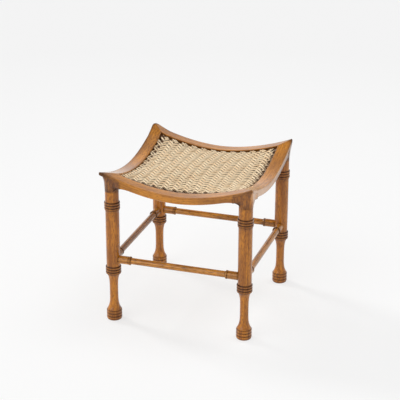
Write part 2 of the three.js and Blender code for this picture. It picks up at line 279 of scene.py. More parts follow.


# %% [markdown]
# ## Carved blocks
#
# Above the neck each leg widens into a block that carries the rails' ends. Its faces lean out a
# little from the neck to the rails. Along each rail it has a wing, flush with the rail's face,
# and under the wing a thinner web, set back and darkened with painted shade, whose lower edge is
# a hollow curve. Painted shade also darkens the block low down and the wing's underside.
#
# The four corners differ, so each has a row of its own: one tip is longer, one is blunt, and the
# stain is dark on one block, while the side of another carries a painted sheen.

# %% Shape the corner and the wings
# Each corner: the way to it from the middle; how round its tip is in plan; how long the arch of
# its lips is; how far the block flares; how far the tip reaches out and how far it rises; the
# stain on the block's front or back and on its side, where below 0 the side has a painted sheen;
# how much darker the shaft is; the stain on the tip; how far out the tip's stain starts; and how
# much dirt the tip holds.
CORNERS = {
    "front_left": dict(
        way=(-1, -1), tip_round=2.5, arch=9.0, flare=1.6, reach=3.5, lift=0.0,
        stain=1.0, side_stain_and_sheen=1.0, shaft_darkening=0.0, tip_stain=0.9, tip_from=240.0, tip_dirt=0.6,
    ),
    "front_right": dict(
        way=(1, -1), tip_round=8.0, arch=3.0, flare=3.2, reach=0.0, lift=0.0,
        stain=0.8, side_stain_and_sheen=-0.5, shaft_darkening=0.22, tip_stain=0.9, tip_from=262.0, tip_dirt=0.2,
    ),
    "back_left": dict(
        way=(-1, 1), tip_round=16.0, arch=6.0, flare=3.2, reach=0.5, lift=5.5,
        stain=0.8, side_stain_and_sheen=0.8, shaft_darkening=0.0, tip_stain=0.7, tip_from=262.0, tip_dirt=0.7,
    ),
    "back_right": dict(
        way=(1, 1), tip_round=6.0, arch=6.0, flare=3.2, reach=0.0, lift=0.0,
        stain=0.8, side_stain_and_sheen=0.8, shaft_darkening=0.1, tip_stain=0.6, tip_from=262.0, tip_dirt=0.7,
    ),
}
LIFT_FROM = 147.0  # where a tip's rise begins, and where it is full
LIFT_FULL = 195.0
BLUNT_AT = HEIGHT + 2.2  # no tip stands higher
BLUNT_OVER = 0.5  # how gently the height levels off below that
FLARE_HEIGHT = 43.0
BLOCK_ROUND = 17.5  # plan radius of the block's outer corner at the neck
TIP_FALL = 26.0  # height over which that radius shrinks to the tip's
WING_END = 172.0  # where the wings and the webs end inside the block
WEB_END = 168.5
WEB_DROP = 14.0  # how far a web's lower edge falls from the rail to the neck
WEB_INNER = 174.0  # the web's inner face, and its thickness from there outwards
WEB_THICK = 19.5
UNDER_LIP = 0.05  # a hair between the block and the lips on it


def worn_top(along, inmost, lift):
    """The saddle curve with a lifted tip, worn blunt: near its limit the height levels off softly."""
    height = saddle(along) + lift * ease(inmost, LIFT_FROM, LIFT_FULL)
    return height - BLUNT_OVER * np.log1p(np.exp((height - BLUNT_AT) / BLUNT_OVER))


def block_face(height, flare):
    """The block's faces lean out from the neck to the rails by a power of the way up."""
    return LEG_AT + SHAFT_R + flare * np.clip((height - BLOCK_AT) / FLARE_HEIGHT, 0, 1) ** 1.2


def leg_grain(grid, corner):
    """Places measured from the leg's own middle line, so the grain runs on from the leg."""
    sign_x, sign_y = corner["way"]
    return grid - np.array([sign_x * LEG_AT, sign_y * LEG_AT, 0])


def corner_block(corner):
    """Plan outlines stacked by height: straight, a quarter round whose radius shrinks upwards, straight."""
    share = np.concatenate([[0, 0.03], np.linspace(0.08, 0.92, 18), [0.96, 0.985, 1.0]])[:, None]
    tip = HEIGHT - LIP
    height = BLOCK_AT + share * (tip - BLOCK_AT)
    face = block_face(height, corner["flare"])
    shrunk = np.clip((height - tip + TIP_FALL) / TIP_FALL, 0, 1) ** 2
    radius = BLOCK_ROUND - (BLOCK_ROUND - corner["tip_round"]) * shrunk
    side = np.linspace(0, 1, 9)[:-1]
    angle = np.linspace(0, np.pi / 2, 15)
    start = INNER + 8 * (1 - ease(share, 0.05, 0.5))
    middle = face - radius
    bend_x = middle + radius * np.cos(angle)
    bend_y = middle + radius * np.sin(angle)
    x = np.concatenate([face + 0 * side, bend_x, middle + (start - middle) * side[1:], start], axis=1)
    y = np.concatenate([start + (middle - start) * side, bend_y, face + 0 * side[1:], start], axis=1)
    inmost = np.minimum(x, y)
    lid = worn_top(inmost, inmost, corner["lift"]) - LIP - UNDER_LIP
    z = BLOCK_AT + share * (lid - BLOCK_AT)
    # Painted shade: the block is darker low down over the neck, and darkest at its lower edge.
    low = 1 - ease(share, 0.02, 0.3)
    dirt_and_shade = np.maximum(0.6 * (1 - ease(share, 0, 0.04)), 0.3 * low) + 0 * x
    sign_x, sign_y = corner["way"]
    grid = np.stack([x * sign_x, y * sign_y, z], axis=-1)
    stain, side_stain_and_sheen = corner["stain"], corner["side_stain_and_sheen"]
    # Below 0 the side carries a painted sheen instead of stain, growing towards the top.
    if side_stain_and_sheen < 0:
        side_stain_and_sheen = side_stain_and_sheen * ease(share, 0.25, 0.8)
    stain_shade_and_sheen = stain + (side_stain_and_sheen - stain) * ease(x - y, -4, 4)
    return skin(grid, {"grain": leg_grain(grid, corner), "dirt_and_shade": dirt_and_shade, "stain_shade_and_sheen": stain_shade_and_sheen})


def stand(corner, along, across, z, along_x):
    """Turns places along a rail, across it and up into places at this corner, with the rail along x or y."""
    sign_x, sign_y = corner["way"]
    place = np.stack([along + 0 * across, across, z], axis=-1)
    if not along_x:
        place = place[..., [1, 0, 2]]
    return place * np.array([sign_x, sign_y, 1])


def wing(corner, along_x, stain):
    """Upright sections from the seam into the block. The face turns from the rail's to the block's."""
    share = np.concatenate([[0, 0.012, 0.03], np.linspace(0.06, 1, 26)])[:, None]
    along = SEAM_AT + (WING_END - SEAM_AT) * share
    under = saddle(SEAM_AT) - rail_depth(SEAM_AT) + 1.5 * share
    lid = worn_top(along, along, corner["lift"]) - lip_depth(along, corner["arch"]) - UNDER_LIP
    lid = np.maximum(lid, under + 0.1)
    across_share = np.array([0, 0, 0, 0.02, 0.5, 0.96, 0.99, 1, 1, 1, 1, 0.99, 0.94, 0.5, 0.02])
    up_share = np.array([0.04, 0.5, 0.96, 1, 1, 1, 1, 0.97, 0.75, 0.5, 0.25, 0.06, 0, 0, 0])
    z = under + (lid - under) * up_share
    meet = ease(along, SEAM_AT, INNER)
    at_rail = HALF - 0.3
    outer = at_rail + (block_face(z, corner["flare"]) - 0.15 - at_rail) * meet
    across = INNER + (outer - INNER) * across_share
    grid = stand(corner, along, across, z, along_x)
    seam = (0.8 if stain > 0 else 0.2) * (1 - ease(along - SEAM_AT, 0.3, 1.2)) + 0 * across
    # Painted shade along the wing's underside; the seam line is a dark joint.
    shaded = 0.6 * (1 - ease(up_share, 0.02, 0.2)) + 0 * along
    dirt_and_shade = np.maximum(seam, shaded)
    # A stain below 0 is a painted sheen.
    return skin(grid, {"grain": leg_grain(grid, corner), "dirt_and_shade": dirt_and_shade, "stain_shade_and_sheen": stain + 0 * across})


def web(corner, along_x, stain):
    """Sections of the web under a wing. Its lower edge is a quarter ellipse from rail to neck."""
    angle = np.linspace(0, np.pi / 2, 16)[:, None]
    start = SEAM_AT - 2.5
    top = saddle(SEAM_AT) - rail_depth(SEAM_AT) + 3
    along = start + (WEB_END - start) * np.sin(angle)
    under = np.maximum(top - 4.0 - WEB_DROP * (1 - np.cos(angle)), BLOCK_AT - 1.0)
    up_share = np.array([1, 1, 0.5, 0.12, 0, 0, 0.12, 0.5])
    across_share = np.array([0, 1, 1, 1, 0.93, 0.07, 0, 0])
    across = WEB_INNER + WEB_THICK * across_share + 0 * along
    grid = stand(corner, along, across, under + (top - under) * up_share, along_x)
    # Painted shade: the web is darker all over, most of all near the leg and along its lower edge.
    shaded = 0.35 + 0.45 * (1 - ease(along, WEB_END - 12, WEB_END))
    dirt_and_shade = np.maximum(shaded, 0.95 * (1 - ease(up_share, 0.12, 0.9))) + 0 * across
    stain_shade_and_sheen = max(stain, 0.1) + 0 * across
    return skin(grid, {"grain": leg_grain(grid, corner), "dirt_and_shade": dirt_and_shade, "stain_shade_and_sheen": stain_shade_and_sheen})


legs = {}
for name, corner in CORNERS.items():
    sign_x, sign_y = corner["way"]
    parts = [
        spin(
            leg_outline(), (sign_x * LEG_AT, sign_y * LEG_AT, 0),
            lambda height: ring_stain(height, corner["shaft_darkening"], corner["stain"]),
        ),
        corner_block(corner),
    ]
    for along_x, stain in ((True, corner["stain"]), (False, corner["side_stain_and_sheen"])):
        parts += [wing(corner, along_x, stain), web(corner, along_x, stain)]
    legs[name] = piece(f"turned_leg_{name}", parts, f"leg_{name}")

# %% [markdown]
# ## Stretchers
#
# Each stretcher is turned too: a slim rod with a thicker sleeve at each end, and a small bead
# where the sleeve begins. The ends run into the legs, as the real ones do.

# %% Turn the stretchers
ROD_R = 8.5
SLEEVE_R = 10.75
BEAD_R = 11.6
BEAD_WIDE = 4.4
BEAD_AT = LEG_AT - 49.7
STRETCHER_AT = SHAFT_AT + 19.0


def stretcher_outline():
    """Half of the outline from the middle outwards, mirrored for the other half."""
    half_way = np.concatenate([
        plain((ROD_R, 0, 0), (ROD_R, 60, 0), (ROD_R, 110, 0), (ROD_R, BEAD_AT - 3, 0)),
        plain((ROD_R, BEAD_AT - 0.5, 0.5)),
        beads(BEAD_AT, BEAD_WIDE, BEAD_R, 1.5, count=1) * np.array([1, 1, 0.7]),
        plain((SLEEVE_R - 0.9, BEAD_AT + 4.6, 0.7), (SLEEVE_R, BEAD_AT + 5.4, 0.3)),
        plain((SLEEVE_R, BEAD_AT + 8, 0), (SLEEVE_R, LEG_AT - 20, 0), (SLEEVE_R, LEG_AT - 17.6, 0.5)),
        plain((SLEEVE_R, LEG_AT - 12, 0.6), (0, LEG_AT - 12, 0.6)),
    ])
    mirrored = half_way[::-1] * np.array([1, -1, 1])
    return np.concatenate([mirrored[:-1], half_way])


def collar_stain(place):
    """The stain is dark on the bead and fades into the sleeve beside it."""
    bead = BEAD_AT + BEAD_WIDE / 2
    return 0.35 * ease(np.abs(place), bead - 3, bead) * (1 - ease(np.abs(place), bead + 2, bead + 8))


def rod_stain(side):
    """The left stretcher is stained darker all along than the other three."""
    return lambda place: np.maximum(collar_stain(place), 0.75 * (side == "left"))


SIDES = {"front": (0, -1), "back": (0, 1), "left": (-1, 0), "right": (1, 0)}
stretchers = {}
for name, (sign_x, sign_y) in SIDES.items():
    centre = (sign_x * LEG_AT, sign_y * LEG_AT, STRETCHER_AT)
    turned = spin(stretcher_outline(), centre, rod_stain(name), axis=0 if sign_y else 1, sides=40)
    stretchers[name] = piece(f"turned_stretcher_{name}", [turned], f"stretcher_{name}")

# %% [markdown]
# ## Seat rails
#
# A rail is one section carried along the saddle curve. Its ends are mitred: past the seam with
# the leg's block, each point slides out to the diagonal by its own distance from the middle, so
# the four rails meet without a gap. There the section is only a thin lip over the block. The
# top outer edge is worn soft and on some rails darker, the line of the seam holds dirt, painted
# shade lies along the inner edges by the weave, and the outer face of the right rail carries a
# painted sheen, with painted shade low down towards its back.

# %% Sweep the rails
# Each rail: the corners at its two ends, how much darker its top outer edge is, and how far under
# its top the painted shade and stain along the weave begin.
RAILS = {
    "front": dict(ends=("front_right", "front_left"), rim_darkening=0.0, inside_from=2.0),
    "back": dict(ends=("back_left", "back_right"), rim_darkening=0.4, inside_from=0.6),
    "left": dict(ends=("front_left", "back_left"), rim_darkening=0.6, inside_from=2.0),
    "right": dict(ends=("back_right", "front_right"), rim_darkening=0.15, inside_from=2.0),
}
TOP_ROUND = 2.6  # how round the section's edges are: outer top, both inner, outer low, and the lip's
INNER_ROUND = 2.0
LOW_ROUND = 4.0
LIP_ROUND = 0.5
REACH_FROM = 172.0  # where a long tip begins to reach out
TIP_END = 281.0  # how far from the middle of the seat the tips lie


def section(depth, low_round):
    """Section of a rail with rounded edges, as distance from the seat's middle and height under its top."""
    arcs = []
    for across, down, radius, quarter in (
        (HALF - TOP_ROUND, -TOP_ROUND, TOP_ROUND, 0),
        (INNER + INNER_ROUND, -INNER_ROUND, INNER_ROUND, 1),
        (INNER + INNER_ROUND, INNER_ROUND - depth, INNER_ROUND, 2),
        (HALF - low_round, low_round - depth, low_round, 3),
    ):
        angle = (quarter + np.linspace(0, 1, 7)) * np.pi / 2
        arcs.append(np.stack([across + radius * np.cos(angle), down + radius * np.sin(angle)], axis=-1))
    top_fill = np.linspace(arcs[0][-1], arcs[1][0], 8)[1:-1]
    inner_fill = np.linspace(arcs[1][-1], arcs[2][0], 5)[1:-1]
    face_fill = np.linspace(arcs[3][-1], arcs[0][0], 7)[1:-1]
    return np.concatenate([arcs[0], top_fill, arcs[1], inner_fill, arcs[2], arcs[3], face_fill])


def at_end(side, t, what):
    """The value of the nearer end's corner, for places t from -1 and below to 1 and above."""
    low, high = RAILS[side]["ends"]
    return np.where(t < 0, CORNERS[low][what], CORNERS[high][what])


def round_tip(side, t, along, across):
    """Square rings round a corner become round ones: the longer side over the diagonal scales each point."""
    radius = at_end(side, t, "tip_round")
    out = at_end(side, t, "reach") * ease(np.minimum(np.abs(along), across), REACH_FROM, HALF)
    side_a = np.abs(along) - HALF + radius
    side_b = across - HALF + radius
    in_corner = (side_a > 0) & (side_b > 0)
    scale = np.where(in_corner, np.maximum(side_a, side_b) / np.hypot(side_a, side_b), 1)
    new_along = np.sign(along) * (HALF - radius + side_a * scale + out)
    return new_along, HALF - radius + side_b * scale + out


def rail_dirt_and_shade(side, t, along, across, down, over_block):
    """Darker places: painted shade and stain along the weave, dirt in the seam or the mitre, a darker rim,
    and dirt on the tips.
    """
    start = RAILS[side]["inside_from"]
    # Painted shade, with a dark stain, on the inner face above the weave.
    inside = 0.8 * ease(-down, start, start + 1.4) * (across < INNER + 1.3)
    if over_block:
        end = 0.5 * ease(np.abs(t) - 1, 0.985, 1.0)
    else:
        end = 0.8 * ease(np.abs(t), 0.988, 0.996) * (down < -LIP)
    # A darker rim along the top outer edge.
    rim = RAILS[side]["rim_darkening"] * ease(across, HALF - 5.5, HALF - 2.6)
    tip = at_end(side, t, "tip_dirt") * ease(np.hypot(along, across), 262, 277)
    return np.maximum.reduce([inside + 0 * t, end + 0 * across, rim + 0 * t, tip])


def rail_stain_shade_and_sheen(side, t, along, across, down):
    """Stain on the lips and tips, a darker tone and painted shade in places; below 0 a painted sheen."""
    face = ease(across, HALF - 1.6, HALF - 0.3)
    # The lip at the right rail's front end is left unstained, under the painted sheen.
    sheened_end = (side == "right") * (t > 0)
    lip = 0.9 * ease(across, HALF - 2, HALF - 0.3) * ease(-down, 1.2, 2.2) * ease(np.abs(t), 0.999, 1.001)
    lip = lip * at_end(side, t, "tip_stain") * (1 - sheened_end)
    tip = 0.8 * ease(np.hypot(along, across), at_end(side, t, "tip_from"), TIP_END)
    # Painted shade on the left rail towards its back, where the top tilts forward; a darker tone on the front
    # rail's face towards its right end.
    darker_stretches = 0.45 * ease(along, 30, 110) * (side == "left")
    darker_stretches = darker_stretches + 0.3 * ease(-along, 50, 110) * (side == "front") * face
    # Painted shade on the lower part of the right rail's outer face towards the back.
    shaded = face * ease(-down, 6, 12) * ease(-along, -20, 60) * (side == "right")
    # Painted sheen on the right rail's outer face, strongest towards the front.
    pale = (0.3 + 0.4 * ease(along, 40, 110)) * (side == "right") * (1 - ease(-t, 1.0, 1.3))
    dark = np.maximum.reduce([lip, tip, darker_stretches + 0 * across, 0.9 * shaded])
    return dark - pale * face * (1 - shaded)


def rail(side):
    """The section at each place along the rail. Past the seam, a place is a share of the way to the mitre."""
    body = np.concatenate([[-1, -0.9965, -0.99], np.linspace(-0.97, 0.97, 81), [0.99, 0.9965, 1]])
    over = np.concatenate([[0, 0.02, 0.05], np.linspace(0.1, 0.97, 17), [1.0]])
    full, thin = section(RAIL_DEPTH, LOW_ROUND), section(LIP, LIP_ROUND)
    rings, darkening_rows, tone_rows = [], [], []
    for places, profile in ((-1 - over[::-1], thin), (body, full), (1 + over, thin)):
        over_block = profile is thin
        t = places[:, None]
        across, down = profile[:, 0][None], profile[:, 1][None]
        beyond = np.clip(np.abs(t) - 1, 0, 1)
        along = np.sign(t) * (np.minimum(np.abs(t), 1) * SEAM_AT + beyond * (across - SEAM_AT))
        if over_block:
            deep = lip_depth(along, at_end(side, t, "arch")) / LIP
        else:
            deep = rail_depth(along) / RAIL_DEPTH
        top = worn_top(along, np.minimum(np.abs(along), across), at_end(side, t, "lift"))
        new_along, new_across = round_tip(side, t, along, across + 0 * along)
        rings.append(np.stack([new_along, new_across, top + down * deep], axis=-1))
        darkening_rows.append(rail_dirt_and_shade(side, t, along, across, down, over_block))
        tone_rows.append(rail_stain_shade_and_sheen(side, t, along, across, down))
    grid = np.concatenate(rings)
    grain = np.stack([grid[..., 1], grid[..., 2] - saddle(grid[..., 0]), grid[..., 0]], axis=-1)
    swapped = grid[..., [1, 0, 2]]
    turned = {
        "back": grid, "front": grid * np.array([-1, -1, 1]),
        "left": swapped * np.array([-1, 1, 1]), "right": swapped * np.array([1, -1, 1]),
    }[side]
    return skin(turned, {"grain": grain, "dirt_and_shade": np.concatenate(darkening_rows), "stain_shade_and_sheen": np.concatenate(tone_rows)})


rails = {side: piece(f"seat_rail_{side}", [rail(side)], f"rail_{side}") for side in SIDES}

# %% [markdown]
# ## Woven seat
#
# The seat is natural cord laid in flat bundles of three on both diagonals. Each bundle goes
# over two and under two of the others, so the floats line up in columns from front to back.
# Twelve spaces lie along each rail, and near the rail the bundles draw together in pairs where
# they go into it, which leaves small gaps between them, darkened with painted shade. Painted shade
# also lies where a cord dives under another and along the sides of each bundle. The taut net is a
# saddle too: its edges follow the rails and its middle stands a little higher than the middles of
# the rails.

# %% Lay out the weave
SPACES = 12
PITCH = INNER / SPACES  # from bundle to bundle along a rail
CORD_R = 1.35
CORD_STEP = 2.35  # from cord to cord in a bundle
FLAT = 0.7  # a cord's height over its width
WAVE = 1.05  # how far a bundle rises over the others and dives under them
SEAT_DROP = 4.0  # the net's edge under the rails' tops
CROWN = 9.0  # how much higher the net's middle is
LEAN = 8.0  # how far the columns bow to the left
PAIRED = 1.0 * PITCH  # distances from the rail over which bundles pair, sink and narrow
DRAWN = 16.0
NARROWED = 27.0
INTO_RAIL = 4.0

# Each edge of the net: how much the pairs draw together, where the first hole is in double
# pitches, how far the net dips into the rail, and the painted shade along the rail with its reach.
EDGES = {
    "front": (0.6, 0.42, 0.6, 0.8, 18.0), "back": (0.55, 0.31, 1.2, 0.05, 16.0),
    "left": (0.5, 0.0, 2.2, 0.0, 10.0), "right": (0.45, 0.0, 2.2, 0.6, 9.0),
}
# Each edge's row of hollows between the pairs, painted dark, where the cords also sink a little:
# the place of the first in double pitches, their distance from the rail, their half sizes along
# and across the edge, and how dark they are painted, which also sets how far the cords sink.
HOLLOWS = {
    "front": (0.32, 13.0, 3.6, 6.5, 2.4), "back": (0.04, 5.0, 3.4, 6.5, 1.6),
    "left": (0.04, 11.5, 5.5, 3.6, 2.6), "right": (0.54, 4.0, 5.5, 4.0, 1.5),
}


def net_height(x, y):
    """Height of the net: the share of the rise along x times that along y, plus a crown in the middle."""
    rise = saddle(INNER) - saddle(0)
    share_x = (saddle(x) - saddle(0)) / rise
    share_y = (saddle(y) - saddle(0)) / rise
    crown = CROWN * np.clip(1 - share_x, 0, 1) * np.clip(1 - share_y, 0, 1)
    return saddle(0) + rise * share_x * share_y + crown - SEAT_DROP


def square_wave(phase):
    """A softened square wave: the cosine pushed towards plus and minus one."""
    return np.tanh(2.0 * np.cos(phase)) / np.tanh(2.0)


def way_to_hole(here, offset):
    """Way along an edge to the nearest hole. Holes are two pitches apart; the offset is a share of that."""
    return 2 * PITCH * (np.round(here / (2 * PITCH) - offset) + offset) - here


def hollow_dip_and_shade(x, y):
    """Painted shade of the hollows, which also sinks the cords: a bell curve across each edge times one along
    it round the nearest hollow.
    """
    depth = 0 * x
    from_edge = {
        "front": (x, INNER + y), "back": (x, INNER - y), "left": (y, INNER + x), "right": (y, INNER - x),
    }
    for side, (first, middle, along_size, across_size, deep) in HOLLOWS.items():
        along, across = from_edge[side]
        kept = 1 - ease(-y, -20, 40) * (side == "left")
        kept = kept * (1 + 0.6 * ease(-x, 70, 130) * (side == "back"))
        off_along = way_to_hole(along, first) / along_size
        off_across = (across - middle) / across_size
        bell = np.exp(-(off_along**2) - off_across**2)
        depth = np.maximum(depth, deep * kept * bell)
    return depth


print("bundle pitch along a rail:", round(PITCH, 2), "mm")

# %% Run the cords
chance = np.random.default_rng(7)


def cord(family, number, strand, stray):
    """Centre line of one cord. Along the bundle x runs evenly and y is a constant minus or plus x."""
    constant = PITCH * (number + 0.5)
    low = max(-INNER, constant - INNER)
    high = min(INNER, constant + INNER)
    x = np.linspace(low - INTO_RAIL, high + INTO_RAIL, max(int((high - low) / 2.3), 8))
    y = family * (constant - x)
    near_low = np.clip(x - low, 0, None)
    near_high = np.clip(high - x, 0, None)
    nearest = np.minimum(near_low, near_high)

    # The weave: where this cord is over or under, flattened where it is drawn into the rail.
    crossing = (2 * x - constant) / PITCH - 0.5
    wave = square_wave(np.pi / 2 * (crossing + number - (0.5 if family > 0 else 2.5)))
    gather = 1 - ease(nearest, 0, DRAWN)
    cornered = ease(np.abs(x) + np.abs(y), 250, 310)
    narrow = 1 - 0.75 * (1 - ease(nearest, 0, NARROWED)) * (1 - 0.6 * cornered)

    # The cord's place in its bundle, with a slow wander of its own.
    wander = 0.35 * np.sin(x / chance.uniform(25, 60) + chance.uniform(0, 6)) + chance.normal(0, 0.15)
    spread = (strand - 1) * CORD_STEP * narrow * (1 + 0.05 * wave) + (wander + stray) * narrow
    across = spread / np.sqrt(2)
    px = x + across
    py = y + family * across

    # At each end the bundle is pulled to the nearest hole and dips into the rail.
    shade, dip = 0 * x, 0 * x
    for at_x, near in ((low, near_low), (high, near_high)):
        at_y = family * (constant - at_x)
        along_x = abs(at_y) > abs(at_x) - 0.01
        side = ("back" if at_y > 0 else "front") if along_x else ("right" if at_x > 0 else "left")
        pull, offset, dips, shaded, reach = EDGES[side]
        loose = 1 - 0.6 * ease(-at_y, -20, 40) * (side == "left")
        pull = loose * pull * way_to_hole(at_x if along_x else at_y, offset) * np.exp(-near / PAIRED)
        px, py = (px + pull, py) if along_x else (px, py + pull)
        # Painted shade along the rail, fading with the distance from it.
        shade = np.maximum(shade, shaded * (1 - ease(near, 0.4 * reach, reach)))
        dip = np.maximum(dip, loose * dips * (1 - ease(near, 0, DRAWN)) ** 2)

    layer = 0.9 * family * gather
    raised = (0.35 + 1.2 * (1 - narrow)) * (1 - abs(strand - 1))
    height = net_height(px, py) - CORD_R + WAVE * (wave * (1 - gather) + layer) + raised - dip
    lean = LEAN * np.clip(1 - (px / INNER) ** 2, 0, 1) * np.clip(1 - (py / INNER) ** 2, 0, 1)
    dip_and_shade = hollow_dip_and_shade(px, py)
    # Painted light and shade on the slopes where a cord dives: lighter on one slope, darker on the other.
    slope = -0.18 * family * np.gradient(wave, x) * PITCH / 3 * (1 - gather)
    line = np.stack([px - lean, py, height - 1.2 * np.minimum(dip_and_shade, 1)], axis=-1)
    return line, wave, np.maximum(shade, dip_and_shade) + slope


def tube(line, radius, painted_shade, sides=6):
    """A flattened tube: the line plus the radius times the cosine across and the flattened sine up."""
    angle = np.linspace(0, 2 * np.pi, sides, endpoint=False)
    ahead = np.gradient(line, axis=0)
    ahead /= np.linalg.norm(ahead, axis=1, keepdims=True)
    across = np.stack([-ahead[:, 1], ahead[:, 0], 0 * ahead[:, 0]], axis=-1)
    across /= np.linalg.norm(across, axis=1, keepdims=True)
    above = np.cross(ahead, across)
    ring = across[:, None] * np.cos(angle)[:, None] + above[:, None] * FLAT * np.sin(angle)[:, None]
    grid = line[:, None] + radius * ring
    run = np.cumsum(np.linalg.norm(np.gradient(line, axis=0), axis=1))
    place = np.stack([0 * run + chance.uniform(0, 900), 0 * run, run], axis=-1)[:, None] + 0 * grid
    tint = np.full(grid.shape[:2], chance.uniform(0, 1))
    return skin(grid, {"cord_place": place, "tint": tint, "painted_shade": painted_shade(np.sin(angle), np.cos(angle))})


def net_shade(wave, outer, shade):
    """Painted shade on a cord where it dives, on the bundle's two sides, and in the hollows."""
    under = 0.5 - 0.5 * wave[:, None]

    def painted_shade(up, side):
        flank = np.clip(outer * side, 0, 1)
        return np.clip(0.3 * under + (1 - under) * (0.1 * (1 - up) + flank) + shade[:, None], 0, 1)

    return painted_shade


def bundles(name, family, numbers):
    """Bundles of three cords that run the same way, each bundle a little off its place."""
    skins = []
    for number in numbers:
        stray = chance.normal(0, 0.35)
        for strand in range(3):
            line, wave, shade = cord(family, number, strand, stray)
            radius = CORD_R * (1 + chance.normal(0, 0.03))
            skins.append(tube(line, radius, net_shade(wave, family * (strand - 1), shade)))
    return piece(name, skins)


families = {
    "cords_left_to_right_a": (1, range(-22, 0)), "cords_left_to_right_b": (1, range(0, 22)),
    "cords_right_to_left_a": (-1, range(-22, 0)), "cords_right_to_left_b": (-1, range(0, 22)),
}
cords = {name: bundles(name, family, numbers) for name, (family, numbers) in families.items()}
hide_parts("woven_seat")

# %% Lay the under layer
UNDER_STEP = 3.1
UNDER_R = 1.65
BELOW = 8.8  # how far the layer lies under the net


def under_cord(y):
    """A cord from side to side that closes the net's gaps so they look dark: painted shade on top, plain cord
    below.
    """
    x = np.linspace(-INNER - 2, INNER + 2, 60)
    line = np.stack([x, y + 0 * x, net_height(x, y) - BELOW], axis=-1)
    return tube(line, UNDER_R, lambda up, side: 0.3 + 0.7 * ease(up, -0.6, -0.1))


rows = np.arange(-INNER + 1.5, INNER, UNDER_STEP)
cords["under_cords"] = piece("under_cords", [under_cord(y) for y in rows])

# %% [markdown]
# ## Finishes
#
# The wood is stained and waxed: the stain gathers in soft streaks along the grain, the grooves are
# darker, and the handled tops are paler; painted shade lies in some hollows and under some edges,
# and a painted sheen on one side. The cord is natural fibre, matt, with each cord a little lighter or
# darker than the next, and painted shade where it dives. Colours are written as seen on a screen.

# %% Node helpers
def linear(hex_colour):
    """Screen colour as linear light: each channel over 255, through the sRGB curve."""
    screen = np.array([int(hex_colour[k : k + 2], 16) for k in (0, 2, 4)]) / 255
    light = np.where(screen <= 0.04045, screen / 12.92, ((screen + 0.055) / 1.055) ** 2.4)
    return (*light.tolist(), 1.0)


def node(tree, kind, inputs=None, **settings):
    """Adds one node. Settings are its own properties; inputs are socket values, or outputs to link in."""
    made = tree.nodes.new(kind)
    for name, value in settings.items():
        setattr(made, name, value)
    for key, value in (inputs or {}).items():
        if isinstance(value, bpy.types.NodeSocket):
            tree.links.new(value, made.inputs[key])
        else:
            made.inputs[key].default_value = value
    return made


def mark(tree, name, kind="Fac"):
    """A number, or with kind Vector a place, that the mesh carries at each point."""
    return node(tree, "ShaderNodeAttribute", attribute_name=name).outputs[kind]


def noise(tree, place, size_mm, detail, roughness=0.5):
    """Noise whose spots have the given sizes in millimetres along the three axes of the place."""
    scale = tuple(1 / size for size in size_mm)
    scaled = node(tree, "ShaderNodeMapping", {0: place, "Scale": scale}).outputs[0]
    spots = {"Vector": scaled, "Scale": 1.0, "Detail": detail, "Roughness": roughness}
    return node(tree, "ShaderNodeTexNoise", spots).outputs[0]


def ramp(tree, value, start, end, low=0.0, high=1.0):
    """Turns start to end evenly into low to high."""
    limits = {"From Min": start, "From Max": end, "To Min": low, "To Max": high}
    return node(tree, "ShaderNodeMapRange", {"Value": value, **limits}).outputs[0]


def sum_up(tree, operation, one, other):
    """One sum on two numbers, such as MULTIPLY."""
    return node(tree, "ShaderNodeMath", {0: one, 1: other}, operation=operation).outputs[0]


def blend(tree, share, colour, other):
    """The first colour with a share of the other one, which is written as seen on a screen."""
    return node(tree, "ShaderNodeMix", {0: share, 6: colour, 7: linear(other)}, data_type="RGBA").outputs[2]


def new_material(name):
    """An empty material with its output and one main shader."""
    made = bpy.data.materials.new(name)
    made.use_nodes = True
    made.node_tree.nodes.clear()
    tree = made.node_tree
    shader = node(tree, "ShaderNodeBsdfPrincipled")
    node(tree, "ShaderNodeOutputMaterial", {"Surface": shader.outputs[0]})
    return made, tree, shader


# %% Waxed wood
# The stain colour also paints shade, the dirt colour also paints shade, and the sheen colour paints a sheen.
STAIN_AND_SHADE_COLOUR = "603616"
DIRT_AND_SHADE_COLOUR = "240E04"
SHEEN_COLOUR = "F6C08C"


